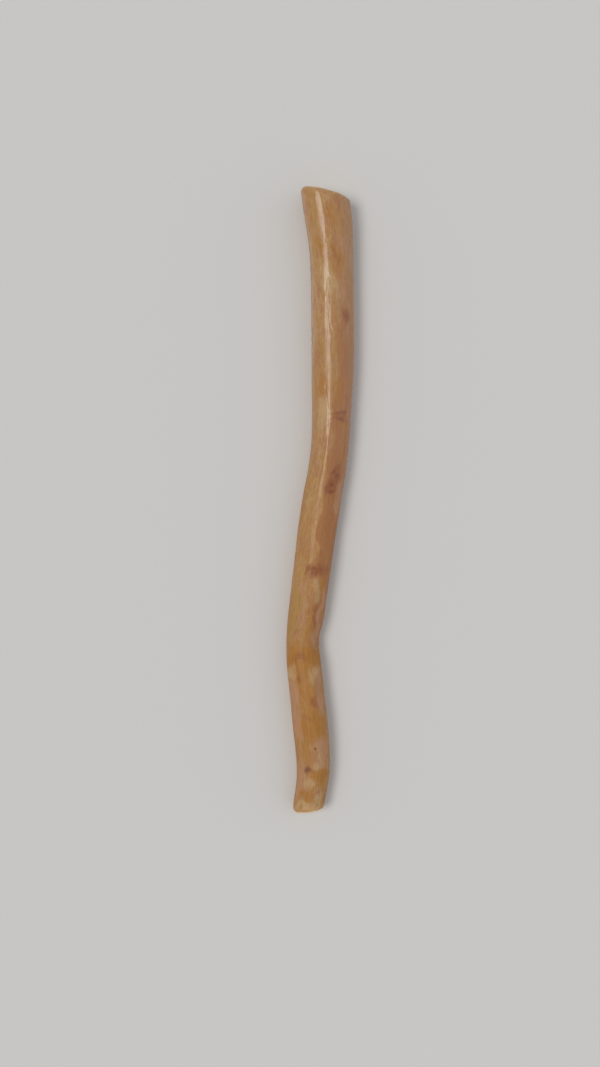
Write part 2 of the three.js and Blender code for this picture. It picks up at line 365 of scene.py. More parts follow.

# %% [markdown]
# ## Where the colours lie
#
# Most of the bark is a golden tan. The flank on the right is a redder brown, up to the line of
# light on top. Pale, pinkish and orange patches show where the outer bark is thin or gone, most of
# them between the narrow waist and the thin end. Three pale patches beside the crest of the thick
# half are also a painted highlight, the soft glow along the top. Each patch is stored on the skin
# as a soft oval from 0 to 1. The material breaks up its edge later.

# %% List the patches
# Each patch: distance along, angle round, length, breadth, and strength from 0 to 1.
PATCHES = {
    "gold": [(-31, 140, 12, 1.7, 0.7)],
    "pink": [
        (66, 50, 8, 2.4, 0.5), (56, 68, 5, 2.4, 0.5), (48, 36, 6, 2, 0.4),
        (19.6, 128, 4, 2, 0.35), (1, 28, 6, 2, 0.8), (-23.2, 116, 1.8, 1.6, 0.5),
        (-31, 112, 9, 1, 0.5), (-29, 40, 8, 1.5, 0.7), (-38, 42, 2.6, 1.6, 0.95),
        (-46.6, 40, 4.4, 1.7, 0.9), (-54, 140, 4.2, 2.6, 0.9), (-54.4, 46, 3.6, 1.7, 0.75),
        (-60.7, 138, 4.6, 2.6, 0.9), (-69, 56, 5.6, 2.6, 0.9), (-76, 140, 6.5, 2.4, 0.8),
        (-82.6, 62, 2.2, 2.6, 0.65), (-52, 318, 6, 1.8, 0.7),
    ],
    "pale": [
        # The first three pale patches, beside the crest, are pale bark and also a painted
        # highlight: the soft glow along the top.
        (58.6, 93, 5, 2.6, 0.6), (61, 114, 4, 1.8, 0.5), (24, 107, 5.6, 2.4, 0.8),
        (0.6, 130, 5, 2.4, 0.35), (-24.4, 66, 3.8, 1.6, 0.75), (-46, 156, 2.4, 2.3, 0.75),
        (-47.4, 138, 2.2, 1.9, 0.7), (-46.6, 74, 2.5, 2.5, 1), (-71.6, 76, 2.8, 1.8, 0.5),
        (-77, 113, 2.1, 1.9, 0.6), (-81.2, 58, 2, 2, 0.6), (-83.4, 122, 1.6, 3.8, 0.8),
        (-62, 226, 7, 2, 0.8), (8, 236, 6, 1.8, 0.5), (56, 262, 7, 1.6, 0.5),
    ],
    "amber": [
        (78, 84, 5, 2.4, 0.6), (68.4, 118, 3, 2.4, 0.5), (64.5, 77, 7, 2.2, 0.5),
        (73, 30, 6, 1.8, 0.4), (31, 126, 4, 2.6, 0.5), (30.6, 74, 4.5, 2.6, 0.45),
        (20.4, 50, 2.2, 2, 0.5), (-23.2, 50, 3, 1, 0.6), (-32, 68, 8, 1.8, 0.5),
        (-37.8, 110, 3, 2, 0.2), (-42.7, 84, 2.9, 7.6, 1), (-47.7, 110, 2.6, 2.2, 0.95),
        (-53, 88, 4, 2.4, 0.75), (-61.2, 79, 4.4, 3.3, 0.9), (-60.4, 62, 3.2, 1.6, 0.6),
        (-68, 116, 4.6, 1.6, 0.45), (-75.2, 78, 2, 3, 0.7), (-75.2, 56, 3, 1.6, 0.8),
        (-80.5, 114, 1.7, 1.9, 0.9), (-70, 268, 4, 2.2, 0.7), (20, 270, 6, 2.4, 0.6),
    ],
    "ruddy": [
        (65.5, 80, 3.6, 0.9, 0.4), (50.2, 52, 2.2, 2.2, 0.65), (23.4, 60, 3, 3.2, 0.38),
        (24.1, 60, 0.8, 3.4, 0.5), (21.6, 62, 0.8, 2.4, 0.45), (5.4, 60, 5.4, 3.8, 0.3),
        (7.6, 68, 1, 1.2, 0.5), (7, 46, 1.5, 1.2, 0.5), (5, 58, 0.9, 1.1, 0.45),
        (4.1, 74, 1.7, 1.5, 0.5), (2.9, 60, 0.8, 1.2, 0.5), (-18, 60, 2.1, 5.2, 0.42),
        (-19, 84, 1.6, 2.4, 0.32), (-21, 84, 2.3, 2.2, 0.4), (-29.8, 54, 6, 1.5, 0.5),
        (-43.2, 106, 1.9, 3, 0.48), (-48.4, 118, 1.4, 1.7, 0.45), (-53.8, 66, 2.2, 1.2, 0.5),
        (-58.8, 88, 1.1, 1.5, 0.42), (-70.4, 74, 0.5, 0.45, 0.45), (-79.3, 66, 0.5, 0.5, 0.45),
        (-73, 106, 1.6, 2.4, 0.45), (-44, 240, 2.4, 3.6, 0.8), (-18, 300, 2, 4.2, 0.7),
        (45, 194, 2.2, 1.6, 0.7), (71, 238, 2.4, 2, 0.7), (36, 286, 2.6, 2.4, 0.6),
    ],
    "dark": [
        (39.9, 165, 1.2, 0.8, 0.5), (22.5, 57, 0.8, 0.7, 0.3), (7.7, 67, 0.6, 0.8, 0.55),
        (6.9, 48, 0.8, 0.6, 0.5), (4.8, 60, 0.6, 0.7, 0.55), (2.9, 61, 0.6, 0.8, 0.55),
        (-18.7, 86, 0.6, 0.9, 0.4), (-20.5, 82, 1.4, 1.5, 0.32), (-67.9, 81, 0.55, 0.5, 0.75),
        (-72.9, 112, 1.5, 1.8, 0.55), (45, 192, 0.9, 0.8, 0.7), (-9, 338, 0.9, 0.8, 0.7),
        (71, 238, 0.8, 0.8, 0.6),
    ],
}
PATCH_FALL = 1.15


def patch_spots(patches):
    """How strongly each skin point belongs to patches of one kind, from 0 to 1."""
    bare = np.ones(skin_reach.shape)
    for y, angle, length, breadth, strength in patches:
        along, across = distance_to(y, angle, min(1.0, breadth))
        squared = (along / length) ** 2 + (across / breadth) ** 2
        bare *= 1 - strength * np.exp(-(squared ** PATCH_FALL))
    return 1 - bare


skin_values = {kind: patch_spots(patches) for kind, patches in PATCHES.items()}
print("patches:", ", ".join(f"{len(patches)} {kind}" for kind, patches in PATCHES.items()))

# %% Spread the redder flank
# Each place: distance along, the angles where the flank ends on top and below, and how red it is.
REDDER_FLANK = [
    (-85, 50, -40, 0.15),
    (-45, 60, -40, 0.25),
    (-32, 72, -40, 0.55),
    (-18, 84, -40, 0.8),
    (0, 90, -40, 1),
    (5, 96, -40, 1),
    (10, 91, -40, 1),
    (15, 90, -45, 0.95),
    (20, 88, -45, 0.95),
    (30, 90, -45, 0.95),
    (50, 80, -50, 0.6),
    (66, 76, -50, 0.45),
    (85, 72, -50, 0.35),
]
FLANK_EDGE_ON_TOP = 6.5
FLANK_EDGE_BELOW = 30.0


def soft_edge(values, middle, reach):
    """0 well below the middle, 1 well above it, and a smooth slope in between."""
    return smooth((values - middle) / (2 * reach) + 0.5)


def redder_flank():
    """How much each skin point belongs to the redder flank, from 0 to 1."""
    places, *columns = np.array(REDDER_FLANK, float).T
    y = skin_points[:, 0, 1] / MM
    top, below, strength = (np.interp(y, places, column)[:, None] for column in columns)
    turn = (np.degrees(skin_angles)[None, :] + 90) % 360 - 90
    turn = turn + np.degrees(shift_across / (skin_reach / MM))
    inside = soft_edge(turn, below, FLANK_EDGE_BELOW) * soft_edge(-turn, -top, FLANK_EDGE_ON_TOP)
    return inside * strength


skin_values["redder"] = redder_flank()
print("the redder flank takes up", round(100 * skin_values["redder"].mean()), "% of the bark")

# %% [markdown]
# ## The cut faces, and one closed mesh
#
# Rings of points run over each flat cut, from its edge to its middle. At the thick end the wood
# lies a tenth of a millimetre behind the bark's rim. The bark and both cuts make one closed mesh.
#
# Every point also gets a "straight" place: where it would be, in millimetres, if the stick were
# straight and round. Patterns that read it follow every bend, as the real grain does.

# %% Join the bark and the cuts
# The rings on a cut, as shares of the size of its edge.
CUT_SHARES = np.array([
    0.985, 0.96, 0.93, 0.9, 0.85, 0.79, 0.72, 0.64, 0.55, 0.45, 0.35, 0.25, 0.15, 0.06,
])
THICK_CUT_SINK = 0.1
SINK_RIM = (0.03, 0.13)


def cut_rings(edge, centre):
    """Rings of points over a cut face, from its edge towards its middle."""
    return centre + (edge[None] - centre) * CUT_SHARES[:, None, None]


def grid_faces(rings):
    """Four-cornered faces between neighbouring rings. The first ring starts at point 1."""
    ring, step = np.meshgrid(np.arange(rings - 1), np.arange(POINTS_ROUND), indexing="ij")
    beside = (step + 1) % POINTS_ROUND
    near, far = 1 + ring * POINTS_ROUND, 1 + (ring + 1) * POINTS_ROUND
    return np.stack([near + step, far + step, far + beside, near + beside], -1).reshape(-1, 4)


def closed_skin():
    """One closed mesh: bark all round, a cut face at each end, and a point in each cut's middle."""
    thin_centre, thick_centre = skin_points[0].mean(0), skin_points[-1].mean(0)
    thick_rings = cut_rings(skin_points[-1], thick_centre)
    sink = THICK_CUT_SINK * MM
    thick_rings[:, :, 1] -= sink * np.interp(1 - CUT_SHARES, SINK_RIM, (0, 1))[:, None]
    grid = np.concatenate([cut_rings(skin_points[0], thin_centre)[::-1], skin_points, thick_rings])
    faces = grid_faces(len(grid)).tolist()
    last = 1 + len(grid) * POINTS_ROUND
    for step in range(POINTS_ROUND):
        beside = (step + 1) % POINTS_ROUND
        faces.append([0, 1 + step, 1 + beside])
        faces.append([last, last - POINTS_ROUND + beside, last - POINTS_ROUND + step])
    mesh = bpy.data.meshes.new("stick_skin")
    poles = thin_centre, thick_centre - (0, sink, 0)
    mesh.from_pydata([poles[0], *grid.reshape(-1, 3), poles[1]], [], faces)
    return mesh


skin_mesh = closed_skin()
triangles = sum(len(face.vertices) - 2 for face in skin_mesh.polygons)
print("skin", len(skin_mesh.vertices), "points,", triangles, "triangles")

# %% Tell every point where it lies
PAST_THE_EDGE = 2.4


def over_cuts(values, shares=np.ones(len(CUT_SHARES))):
    """Values for the bark's rings, and shares of the last ring's values over each cut."""
    shares = shares[:, None]
    return np.concatenate([values[:1] * shares[::-1], values, values[-1:] * shares])


def share_of_radius():
    """How far out each skin point lies, as a share of the radius past the worn edge."""
    past = np.searchsorted(skin_along, PAST_THE_EDGE)
    full = skin_reach.copy()
    full[:past] = skin_reach[past]
    full[-past:] = skin_reach[-past - 1]
    return np.minimum(skin_reach / full, 1)


def straight_places():
    """Every point's place on a straight, round stick, in millimetres."""
    around = np.ones(POINTS_ROUND)
    along = over_cuts(skin_along[:, None] * around)
    radius = over_cuts(skin_reach.mean(1)[:, None] / MM * around, CUT_SHARES)
    grid = np.stack([radius * np.cos(skin_angles), along, radius * np.sin(skin_angles)], -1)
    thin_pole, thick_pole = (0, skin_along[0], 0), (0, skin_along[-1], 0)
    return np.concatenate([[thin_pole], grid.reshape(-1, 3), [thick_pole]])


def store(mesh, name, grid):
    """Keeps a value for each point, and 0 for both poles, where node trees can read it."""
    attribute = mesh.attributes.new(name, "FLOAT", "POINT")
    attribute.data.foreach_set("value", np.concatenate([[0], grid.ravel(), [0]]))


from_cuts = np.minimum(skin_along, skin_along[-1] - skin_along)[:, None] * np.ones(POINTS_ROUND)
store(skin_mesh, "cut_share", over_cuts(share_of_radius(), CUT_SHARES))
store(skin_mesh, "to_cut", over_cuts(from_cuts))
store(skin_mesh, "scar", over_cuts(scar_height))
for name, values in skin_values.items():
    store(skin_mesh, name, over_cuts(values))
places = skin_mesh.attributes.new("straight", "FLOAT_VECTOR", "POINT")
places.data.foreach_set("vector", straight_places().ravel())
print("each point carries", ", ".join(["straight", "cut_share", "to_cut", "scar", *skin_values]))

# %% [markdown]
# ## Nodes made in code
#
# Materials and Geometry Nodes are built from the same few moves: add a node, set its options, and
# give each input a number or a link. One small helper does this and hands back the output that is
# used next, so a tree reads like a recipe. A link knows its tree, so only a node without links has
# to be told which tree it goes into.

# %% Helpers for node trees
MIDDLE_VALUE = 0.5
# The Mix node has sockets of the same names for numbers, vectors and colours, so they are picked by
# their places: its share and two colours, and its result.
MIX_INPUTS = (0, 6, 7)
MIX_RESULT = 2


def is_link(value):
    """Whether a value is another node's output."""
    return isinstance(value, bpy.types.NodeSocket)


def fill(node, inputs):
    """Gives a node's inputs their values or links."""
    for socket, value in inputs.items():
        if is_link(value):
            node.id_data.links.new(value, node.inputs[socket])
        else:
            node.inputs[socket].default_value = value


def add_node(kind, inputs, output=0, tree=None, **options):
    """Adds a node, and gives back one of its outputs."""
    tree = tree or next(filter(is_link, inputs.values())).id_data
    node = tree.nodes.new(kind)
    for option, value in options.items():
        setattr(node, option, value)
    fill(node, inputs)
    return node.outputs[output]


def maths(operation, *values):
    """One Math node on one, two or three values."""
    return add_node("ShaderNodeMath", dict(enumerate(values)), operation=operation)


def times(product, *others):
    """Multiplies any number of values."""
    for other in others:
        product = maths("MULTIPLY", product, other)
    return product


def plus(total, *others):
    """Adds up any number of values."""
    for other in others:
        total = maths("ADD", total, other)
    return total


def centred(value):
    """A value between 0 and 1, moved so that its middle is 0."""
    return maths("SUBTRACT", value, MIDDLE_VALUE)


def vector_maths(operation, *values, output=0):
    """One Vector Math node on vectors."""
    inputs = dict(enumerate(values))
    return add_node("ShaderNodeVectorMath", inputs, output, operation=operation)


def ramp(value, low, high, to_low=0.0, to_high=1.0):
    """A smooth slope from to_low at low to to_high at high, level past both."""
    ends = {"Value": value, "From Min": low, "From Max": high, "To Min": to_low, "To Max": to_high}
    return add_node("ShaderNodeMapRange", ends, interpolation_type="SMOOTHSTEP")


def mix_colours(share, first, second):
    """Paints the second colour over the first where share is high."""
    inputs = dict(zip(MIX_INPUTS, (share, first, second)))
    return add_node("ShaderNodeMix", inputs, MIX_RESULT, data_type="RGBA", clamp_factor=True)


def stretched(place, across, along):
    """Places for a pattern that is "across" wide and "along" long, in millimetres."""
    size = {0: across, 1: along, 2: across}
    return vector_maths("DIVIDE", place, add_node("ShaderNodeCombineXYZ", size, tree=place.id_data))


def noise(place, across, along, detail=2.0, roughness=0.5, distortion=0.0):
    """Soft random values of this width and length, mostly between 0.3 and 0.7."""
    settings = {"Vector": stretched(place, across, along), "Scale": 1.0}
    settings.update({"Detail": detail, "Roughness": roughness, "Distortion": distortion})
    return add_node("ShaderNodeTexNoise", settings)


def new_tree(kind, name, inputs, output, output_kind):
    """An empty tree. An input is given by its value or by its socket's kind."""
    tree = bpy.data.node_groups.new(name, kind + "NodeTree")
    for label, value in inputs.items():
        has_value = not isinstance(value, str)
        socket_kind = type(value).__name__.title() if has_value else value
        socket = tree.interface.new_socket(label, socket_type="NodeSocket" + socket_kind)
        if has_value:
            socket.default_value = value
    tree.interface.new_socket(output, in_out="OUTPUT", socket_type="NodeSocket" + output_kind)
    return tree, tree.nodes.new("NodeGroupInput").outputs


def end_tree(value):
    """Joins a value to the output of its tree."""
    tree = value.id_data
    tree.links.new(value, tree.nodes.new("NodeGroupOutput").inputs[0])


print("helpers ready")

# %% [markdown]
# ## Shared effects for the materials
#
# Streaks show on the bark and the torn fibres, cloudy spots on the bark and the cut wood, and every
# patch needs a broken edge. So each of these effects is a node group, built once and placed
# wherever it is needed with its own sizes. A group gives out a plain value from 0 to 1, and the
# material decides what to paint with it.

# %% Node groups
BREAK_NOISE = (6.0, 0.65)
BREAK_LENGTH = 2.2
BREAK_SWING = 1.6
BREAK_EDGE = (0.1, 0.72)
FAINT_SPOT = (0.02, 0.4)


def soft_pattern_group(name, swing, **settings):
    """Noise of any width and length, with raised contrast, cut off at 0 and 1."""
    inputs = {"Place": "Vector", "Across": 1.0, "Along": 1.0, "Contrast": 1.0}
    group, given = new_tree("Shader", name, inputs, "Pattern", "Float")
    soft = noise(given["Place"], given["Across"], given["Along"], **settings)
    spread = times(centred(soft), times(given["Contrast"], swing))
    spread = plus(spread, MIDDLE_VALUE)
    end_tree(add_node("ShaderNodeClamp", {"Value": spread}))
    return group


def broken_patch_group():
    """A soft spot with its edge broken up as worn bark is."""
    inputs = {"Spot": 0.0, "Place": "Vector", "Grain": 0.8, "Break": 0.8}
    group, given = new_tree("Shader", "broken_patch", inputs, "Patch", "Float")
    longer = times(given["Grain"], BREAK_LENGTH)
    rough = noise(given["Place"], given["Grain"], longer, *BREAK_NOISE)
    shift = times(centred(rough), given["Break"], BREAK_SWING)
    edge = ramp(plus(given["Spot"], shift), *BREAK_EDGE)
    end_tree(times(edge, ramp(given["Spot"], *FAINT_SPOT)))
    return group


GRAIN = soft_pattern_group("long_grain", swing=2.5, detail=4.0, roughness=0.6)
CLOUDS = soft_pattern_group("mottle", swing=3.0, detail=3.0, roughness=0.55, distortion=0.4)
BROKEN_PATCH = broken_patch_group()
print("groups", GRAIN.name, CLOUDS.name, BROKEN_PATCH.name)

# %% Helpers for materials
SCREEN_WHITE = 255


def colour(red, green, blue):
    """A screen's colour, 0 to 255, turned into the light values of shaders."""
    screen = Color((red, green, blue)) / SCREEN_WHITE
    return (*screen.from_srgb_to_scene_linear(), 1.0)


def start_material(name):
    """A material with only a Principled shader. Gives the material, its tree and that shader."""
    material = bpy.data.materials.new(name)
    material.use_nodes = True
    return material, material.node_tree, material.node_tree.nodes["Principled BSDF"]


def attribute(tree, name, output="Fac"):
    """A value that the mesh carries for each of its points."""
    return add_node("ShaderNodeAttribute", {}, output, tree, attribute_name=name)


def pattern(group, place, across, along, contrast):
    """Streaks or spots of this size, from one of the groups."""
    inputs = {"Place": place, "Across": across, "Along": along, "Contrast": contrast}
    return add_node("ShaderNodeGroup", inputs, node_tree=group)


def bump(height, distance, strength):
    """Very fine relief, drawn by the shading alone. The distance is in millimetres."""
    inputs = {"Height": height, "Distance": distance * MM, "Strength": strength}
    return add_node("ShaderNodeBump", inputs)


print("a screen's middle grey is", round(colour(128, 128, 128)[0], 2), "in light values")

# %% [markdown]
# ## The bark's material
#
# The colour is built as a painter would: the golden ground first, then cloudy tints, the redder
# flank and broad streaks, then each kind of patch, and last the fine streaks, the pores and the
# painted shade of the furrows. At the cuts the outer bark is worn away, and the paler inner bark
# shows.
# A layer of paint is a pattern, the part of it that counts, and a colour. So the layers are lists,
# and one short loop paints them.
#
# The bark is still moist, most of all on its thick half. So a thin glossy coat lies over a duller
# ground and grows stronger towards the thick end.

# %% The bark's colours
GOLD = colour(194, 147, 88)
GOLD_PALE = colour(204, 159, 105)
GOLD_THIN_END = colour(188, 142, 85)
PINKISH = colour(188, 134, 96)
REDDER = colour(182, 121, 74)
# The dark tint of the grain streaks, and also the painted shade in the furrows.
GRAIN_TINT_AND_FURROW_SHADE = colour(124, 76, 47)
INNER_BARK = colour(196, 148, 98)
INNER_BARK_PALE = colour(214, 172, 122)
DEEP_GOLD = colour(188, 146, 80)
PALE = colour(207, 168, 118)
AMBER = colour(187, 128, 56)
RUDDY = colour(160, 92, 57)

# Each kind of patch, in painting order: its colour, how much of the ground it hides, how far it is
# worn in, and how broken its edge is.
FINISHES = {
    "gold": (DEEP_GOLD, 0.8, 0, 0.8),
    "pink": (colour(198, 148, 110), 0.85, 0.4, 0.8),
    "pale": (PALE, 0.9, 0.7, 0.8),
    "amber": (AMBER, 0.95, 0.1, 0.8),
    "ruddy": (RUDDY, 0.85, 0, 0.6),
    "dark": (colour(118, 76, 52), 0.85, 0.5, 0.35),
}
print("patches are painted in this order:", ", ".join(FINISHES))

# %% The bark's patterns and layers
# Each pattern: its group, its width and length in millimetres, and its contrast.
PATTERNS = {
    "wide": (GRAIN, 1.5, 26, 1.2),
    "grain": (GRAIN, 0.34, 6, 1.2),
    "hairline": (GRAIN, 0.12, 1.6, 1.3),
    "large": (CLOUDS, 2.4, 4.56, 1.3),
    "small": (CLOUDS, 0.9, 1.71, 1.3),
}
BROAD_NOISE = (4, 22, 3)
PORE_NOISE = (0.36, 0.5)
PORE_EDGE = (0.66, 0.74)
# Where the thick part's bark changes to the thin part's, in millimetres from the thin cut.
CHANGE_OF_BARK = (70, 50)

# Each layer: its pattern, the two ends of the part of it that counts, how much of the ground the
# layer hides at each of them, and its colour.
GROUND_LAYERS = [
    ("broad", 0.4, 0.62, 0, 1, GOLD_PALE),
    ("along", *CHANGE_OF_BARK, 0, 1, GOLD_THIN_END),
    ("large", 0.45, 1, 0, 0.75, PINKISH),
    ("large", 0, 0.45, 0.6, 0, DEEP_GOLD),
    ("small", 0, 0.5, 0.35, 0, AMBER),
    ("small", 0.5, 1, 0, 0.35, PALE),
    ("flank", 0.1, 0.9, 0, 0.85, REDDER),
    ("wide", 0, 1, 0.3, 0, REDDER),
]
FINE_LAYERS = [
    ("grain", 0, 0.5, 0.2, 0, GRAIN_TINT_AND_FURROW_SHADE),
    ("grain", 0.5, 1, 0, 0.12, PALE),
    ("hairline", 0, 0.4, 0.2, 0, GRAIN_TINT_AND_FURROW_SHADE),
    ("pores", *PORE_EDGE, 0, 0.55, RUDDY),
    # Painted shade: the furrows and creases are darkened by how deep the relief lies.
    ("relief", -0.2, -0.06, 0.5, 0, GRAIN_TINT_AND_FURROW_SHADE),
]


def bark_patterns(tree, place):
    """Every pattern that the bark's layers read, by name."""
    patterns = {name: pattern(group, place, *size) for name, (group, *size) in PATTERNS.items()}
    patterns["along"] = add_node("ShaderNodeSeparateXYZ", {0: place}, output=1)
    patterns["broad"] = noise(place, *BROAD_NOISE)
    patterns["flank"] = plus(attribute(tree, "redder"), centred(patterns["broad"]))
    patterns["pores"] = noise(place, *PORE_NOISE)
    patterns["relief"] = attribute(tree, "relief")
    return patterns


def paint(ground, patterns, layers):
    """Paints layers over the ground, one after the other."""
    for name, *steps, tint in layers:
        ground = mix_colours(ramp(patterns[name], *steps), ground, tint)
    return ground


def paint_patches(tree, ground, place):
    """Paints each kind of patch, and also gives how far the bark is worn in."""
    worn = 0.0
    for kind, (tint, cover, wear, broken) in FINISHES.items():
        inputs = {"Spot": attribute(tree, kind), "Place": place, "Break": broken}
        spot = add_node("ShaderNodeGroup", inputs, node_tree=BROKEN_PATCH)
        share = times(spot, cover)
        ground = mix_colours(share, ground, tint)
        worn = maths("MULTIPLY_ADD", share, wear, worn)
    return ground, worn


print("layers of paint", len(GROUND_LAYERS) + len(FINISHES) + len(FINE_LAYERS))

# %% Bark material
# Ramps: the two ends of the part that counts, and the value at each of them.
BARK_ROUGHNESS = (0, 1, 0.8, 0.66)
COAT_ALONG = (78, 108, 0.12, 1)
COAT_PATCHY = (0.35, 0.65, 0.6, 1)
HAIRLINE_BUMP = 0.35
GRAIN_BUMP = 0.5
PORE_BUMP = (*PORE_EDGE, 0, 0.5)
BARK_BUMP = (0.09, 0.8)
# How far the outer bark is worn away at the thick and at the thin cut, in millimetres.
WORN_RIMS = (0.7, 2)
WORN_UNEVEN = 0.5
WORN_EDGE = (0.6, 1.1, 1, 0)
INNER_CLOUDS = (1.3, 2.47, 1)
INNER_EDGE = (0.2, 0.8)


def inner_bark(place):
    """The colour under the outer bark, which the bark and the cut both show where they meet."""
    cloudy = ramp(pattern(CLOUDS, place, *INNER_CLOUDS), *INNER_EDGE)
    return mix_colours(cloudy, INNER_BARK, INNER_BARK_PALE)


def worn_rims(tree, patterns):
    """Where the inner bark shows beside the cuts, with an uneven edge."""
    reach = ramp(patterns["along"], *CHANGE_OF_BARK, *WORN_RIMS)
    from_cut = maths("DIVIDE", attribute(tree, "to_cut"), reach)
    edge = maths("MULTIPLY_ADD", centred(patterns["small"]), WORN_UNEVEN, from_cut)
    return ramp(edge, *WORN_EDGE)


def bark_material():
    """Moist bark, painted in layers, with the finest relief as a bump."""
    material, tree, shader = start_material("moist_bark")
    place = attribute(tree, "straight", "Vector")
    patterns = bark_patterns(tree, place)
    ground = paint(GOLD, patterns, GROUND_LAYERS)
    ground, worn = paint_patches(tree, ground, place)
    ground = paint(ground, patterns, FINE_LAYERS)
    ground = mix_colours(worn_rims(tree, patterns), ground, inner_bark(place))

    height = times(patterns["hairline"], HAIRLINE_BUMP)
    height = maths("MULTIPLY_ADD", patterns["grain"], GRAIN_BUMP, height)
    for hollow in (ramp(patterns["pores"], *PORE_BUMP), worn):
        height = maths("SUBTRACT", height, hollow)
    coat = ramp(patterns["along"], *COAT_ALONG)
    fill(shader, {
        "Base Color": ground,
        "Roughness": ramp(patterns["wide"], *BARK_ROUGHNESS),
        "IOR": 1.4,
        "Coat Weight": times(coat, ramp(patterns["broad"], *COAT_PATCHY)),
        "Coat Roughness": 0.24,
        "Normal": bump(height, *BARK_BUMP),
    })
    return material


bark = bark_material()
print("material", bark.name, "with", len(bark.node_tree.nodes), "nodes")

# %% [markdown]
# ## The cut wood's material
#
# Across a cut, the wood is pale cream and full of fine dark dots, the ends of its soft strands.
# Faint rings and rays cross it, and a thin brown line parts it from the inner bark round it. The
# patterns read how far each point is from the middle, which the straight places give. The torn
# fibres are of the same wood, so they take the same two creams.

# %% Cut wood and fibre materials
WOOD = colour(244, 210, 160)
WOOD_PALE = colour(254, 231, 186)
WOOD_STRAND = colour(188, 140, 88)
CAMBIUM = colour(168, 120, 74)
RINGS_TO_A_MM = 1.15
RING_SHADE = (-0.4, 1, 0, 0.08)
RAY_WIDTH = 1 / 26
RAY_EDGE = (0.48, 0.7)
RAYS_FROM_PITH = (0.8, 2.5, 0, 0.3)
STRAND_SPACING = 0.08
STRAND_DOT = (0.16, 0.36, 0.8, 0)
STRANDS_IN_RINGS = (-1, 0.6, 0.55, 1)
# Shares of the radius: where the bark starts, and the edges of the brown line and of the bark.
BARK_STARTS = 0.885
EDGE_UNEVEN = 0.03
CAMBIUM_EDGE = (BARK_STARTS - 0.03, BARK_STARTS, 0, 0.8)
BARK_EDGE = (BARK_STARTS - 0.005, BARK_STARTS + 0.02)
CLOUD_BUMP = 0.4
STRAND_BUMP = -0.8
WOOD_BUMP = (0.1, 0.6)
FIBRE_STREAKS = (0.5, 0.5, 1.4)
FIBRE_ROUGHNESS = (0, 1, 0.6, 0.8)


def paint_wood(place, cloudy):
    """Cream wood with faint rings, rays and strands. Also gives where the strands are."""
    from_pith = vector_maths("MULTIPLY", place, (1.0, 0.0, 1.0))
    radius = vector_maths("LENGTH", from_pith, output="Value")
    turns = maths("MULTIPLY_ADD", radius, RINGS_TO_A_MM, centred(cloudy))
    rings = maths("SINE", times(turns, 2 * np.pi))
    rays = noise(vector_maths("NORMALIZE", from_pith), RAY_WIDTH, RAY_WIDTH)
    rays = times(ramp(rays, *RAY_EDGE), ramp(radius, *RAYS_FROM_PITH))
    cells = {"Vector": stretched(place, STRAND_SPACING, STRAND_SPACING), "Scale": 1.0}
    strands = ramp(add_node("ShaderNodeTexVoronoi", cells, "Distance"), *STRAND_DOT)
    strands = times(strands, ramp(rings, *STRANDS_IN_RINGS))
    ground = mix_colours(cloudy, WOOD, WOOD_PALE)
    for share in (ramp(rings, *RING_SHADE), rays, strands):
        ground = mix_colours(share, ground, WOOD_STRAND)
    return ground, strands


def cut_wood_material():
    """The face of a cut: wood, a brown line round it, and the inner bark."""
    material, tree, shader = start_material("cut_wood")
    place = attribute(tree, "straight", "Vector")
    cloudy = pattern(CLOUDS, place, *INNER_CLOUDS)
    ground, strands = paint_wood(place, cloudy)

    share = attribute(tree, "cut_share")
    edge = maths("MULTIPLY_ADD", centred(cloudy), EDGE_UNEVEN, share)
    ground = mix_colours(ramp(edge, *CAMBIUM_EDGE), ground, CAMBIUM)
    in_bark = ramp(edge, *BARK_EDGE)
    ground = mix_colours(in_bark, ground, inner_bark(place))

    height = maths("MULTIPLY_ADD", cloudy, CLOUD_BUMP, times(strands, STRAND_BUMP))
    height = times(height, maths("SUBTRACT", 1.0, in_bark))
    relief = bump(height, *WOOD_BUMP)
    fill(shader, {"Base Color": ground, "Roughness": 0.78, "Normal": relief})
    return material


def fibre_material():
    """Cream fibres that differ a little from one another."""
    material, tree, shader = start_material("torn_fibre")
    tint = pattern(GRAIN, attribute(tree, "straight", "Vector"), *FIBRE_STREAKS)
    roughness = ramp(tint, *FIBRE_ROUGHNESS)
    ground = mix_colours(tint, WOOD, WOOD_PALE)
    fill(shader, {"Base Color": ground, "Roughness": roughness})
    return material


cut_wood = cut_wood_material()
fibre = fibre_material()
print("materials", cut_wood.name, "and", fibre.name)

# %% [markdown]
# ## Wrinkles in the bark
#
# As the root dried a little, its bark drew up into low wrinkles that run along the stick, with
# narrow furrows between them and finer creases across it in places. The cuts have torn wood, the
# strokes of a saw, and small chips broken out of the bark's rim. A bump could draw all of these,
# but real relief catches the light at the outline too.
#
# So Geometry Nodes move every point along its normal, by a height worked out from its straight
# place. The depths and spacings are inputs of the tree. The height is also stored, so that the
# material can paint shade into the furrows.

